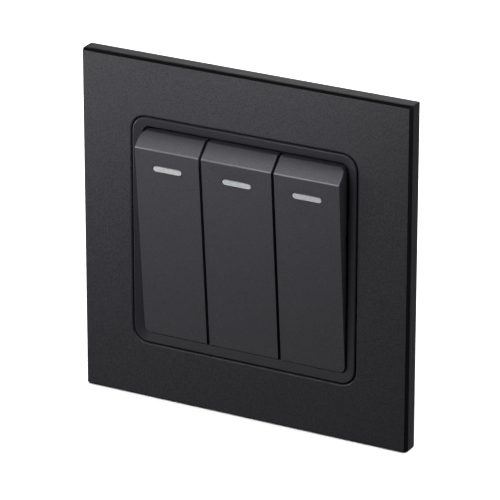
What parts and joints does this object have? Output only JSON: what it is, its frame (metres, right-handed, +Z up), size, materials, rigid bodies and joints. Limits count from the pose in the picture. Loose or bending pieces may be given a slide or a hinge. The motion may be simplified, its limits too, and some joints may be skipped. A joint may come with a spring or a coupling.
{
  "type": "three-gang rocker light switch with wall plate",
  "caption": "Square wall light switch: a clip-on cover plate round a row of tilting rockers with pale bar windows, on a steel yoke with a terminal housing behind.",
  "frame": {"origin": "centre of the cover plate on the wall plane, at the rear of its rim", "axes": "+X right and +Z up as seen from the room, +Y into the wall"},
  "size_m": [0.086, 0.0301, 0.086],
  "materials": {
    "plate_front": "fine matt anthracite",
    "plate_rear": "matt anthracite",
    "bezel": "satin anthracite",
    "rocker": "satin anthracite",
    "lens": "pale translucent grey",
    "steel": "zinc-plated",
    "brass": "bright stamped brass",
    "white_moulding": "moulded white",
    "plunger": "natural acetal"
  },
  "bodies": {
    "base": {"module_bezel": "bezel", "mounting_yoke": "steel", "rocker_cradle": "white_moulding", "terminal_housing": "white_moulding", "line_1_terminal_left": "brass", "line_2_terminal_left": "brass", "common_terminal_left": "brass", "line_1_terminal_centre": "brass", "line_2_terminal_centre": "brass", "common_terminal_centre": "brass", "line_1_terminal_right": "brass", "line_2_terminal_right": "brass", "common_terminal_right": "brass", "line_1_screw_left": "steel", "line_1_screw_centre": "steel", "line_1_screw_right": "steel", "line_2_screw_left": "steel", "line_2_screw_centre": "steel", "line_2_screw_right": "steel", "common_screw_left": "steel", "common_screw_centre": "steel", "common_screw_right": "steel", "fixing_screw_left": "steel", "fixing_screw_right": "steel", "housing_screw_top_left": "steel", "housing_screw_top_right": "steel", "housing_screw_low_left": "steel", "housing_screw_low_right": "steel", "yoke_rivet_top_left": "steel", "yoke_rivet_top_right": "steel", "yoke_rivet_low_left": "steel", "yoke_rivet_low_right": "steel"},
    "cover": {"front_panel": "plate_front", "plate_frame": "plate_rear"},
    "rocker_left": {"rocker_left": "rocker", "indicator_left": "lens"},
    "plunger_left": {"plunger_left": "plunger", "plunger_spring_left": "steel"},
    "moving_contact_left": {"moving_contact_left": "brass"},
    "rocker_centre": {"rocker_centre": "rocker", "indicator_centre": "lens"},
    "plunger_centre": {"plunger_centre": "plunger", "plunger_spring_centre": "steel"},
    "moving_contact_centre": {"moving_contact_centre": "brass"},
    "rocker_right": {"rocker_right": "rocker", "indicator_right": "lens"},
    "plunger_right": {"plunger_right": "plunger", "plunger_spring_right": "steel"},
    "moving_contact_right": {"moving_contact_right": "brass"}
  },
  "joints": [
    {"name": "cover_pull", "type": "slide", "parent": "base", "child": "cover", "axis": [0, -1, 0], "range_m": [0, 0.012]},
    {"name": "rocker_left_tilt", "type": "hinge", "parent": "base", "child": "rocker_left", "pos_m": [-0.01833, -0.001, 0], "axis": [1, 0, 0], "range_deg": [-9.4, 0]},
    {"name": "plunger_left_travel", "type": "slide", "parent": "rocker_left", "child": "plunger_left", "axis": [0, -0.9966, -0.0819], "range_m": [0, 0.0008], "stiffness_N_per_m": 400, "springref_m": -0.003, "deforming": ["plunger_spring_left"]},
    {"name": "moving_contact_left_tilt", "type": "hinge", "parent": "base", "child": "moving_contact_left", "pos_m": [-0.01833, 0.00975, 0], "axis": [1, 0, 0], "range_deg": [0, 11.45]},
    {"name": "rocker_centre_tilt", "type": "hinge", "parent": "base", "child": "rocker_centre", "pos_m": [0, -0.001, 0], "axis": [1, 0, 0], "range_deg": [-9.4, 0]},
    {"name": "plunger_centre_travel", "type": "slide", "parent": "rocker_centre", "child": "plunger_centre", "axis": [0, -0.9966, -0.0819], "range_m": [0, 0.0008], "stiffness_N_per_m": 400, "springref_m": -0.003, "deforming": ["plunger_spring_centre"]},
    {"name": "moving_contact_centre_tilt", "type": "hinge", "parent": "base", "child": "moving_contact_centre", "pos_m": [0, 0.00975, 0], "axis": [1, 0, 0], "range_deg": [0, 11.45]},
    {"name": "rocker_right_tilt", "type": "hinge", "parent": "base", "child": "rocker_right", "pos_m": [0.01833, -0.001, 0], "axis": [1, 0, 0], "range_deg": [-9.4, 0]},
    {"name": "plunger_right_travel", "type": "slide", "parent": "rocker_right", "child": "plunger_right", "axis": [0, -0.9966, -0.0819], "range_m": [0, 0.0008], "stiffness_N_per_m": 400, "springref_m": -0.003, "deforming": ["plunger_spring_right"]},
    {"name": "moving_contact_right_tilt", "type": "hinge", "parent": "base", "child": "moving_contact_right", "pos_m": [0.01833, 0.00975, 0], "axis": [1, 0, 0], "range_deg": [0, 11.45]}
  ],
  "couplings": [
    {"joint": "moving_contact_left_tilt", "follows": "rocker_left_tilt", "ratio": -1.2128},
    {"joint": "moving_contact_centre_tilt", "follows": "rocker_centre_tilt", "ratio": -1.2128},
    {"joint": "moving_contact_right_tilt", "follows": "rocker_right_tilt", "ratio": -1.2128}
  ]
}
